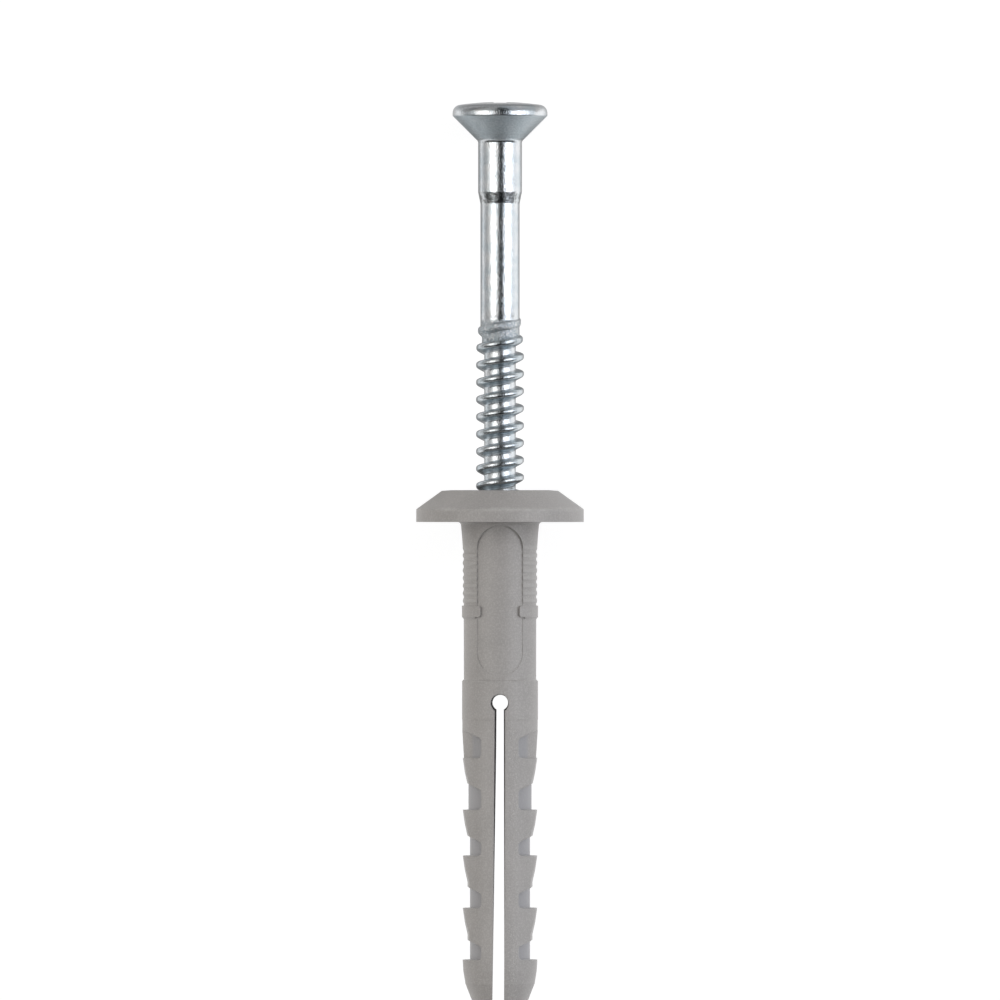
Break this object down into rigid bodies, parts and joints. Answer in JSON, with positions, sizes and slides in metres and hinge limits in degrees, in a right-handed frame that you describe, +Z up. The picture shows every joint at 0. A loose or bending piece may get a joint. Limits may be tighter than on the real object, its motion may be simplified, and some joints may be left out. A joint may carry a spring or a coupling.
{
  "type": "hammer fixing plug",
  "caption": "Flanged plastic wall plug with split toothed legs and a countersunk threaded nail set part-way in, ready to be driven.",
  "frame": {"origin": "the resting surface, under the middle of the bounding box", "axes": "+Y from the plug's tip towards the nail's head, which lies about 5 degrees lower; +Z up, out of the plug's front"},
  "size_m": [0.013, 0.0702, 0.013],
  "materials": {
    "grey_plastic": "matte moulded warm grey",
    "zinc_steel": "bright blue-silver zinc plate"
  },
  "bodies": {
    "plug_body": {"plug": "grey_plastic"},
    "nail_body": {"nail_screw": "zinc_steel"}
  },
  "joints": [
    {"name": "nail_drive", "type": "slide", "parent": "plug_body", "child": "nail_body", "axis": [0, -0.9961, 0.0882], "range_m": [0, 0.0298]}
  ]
}
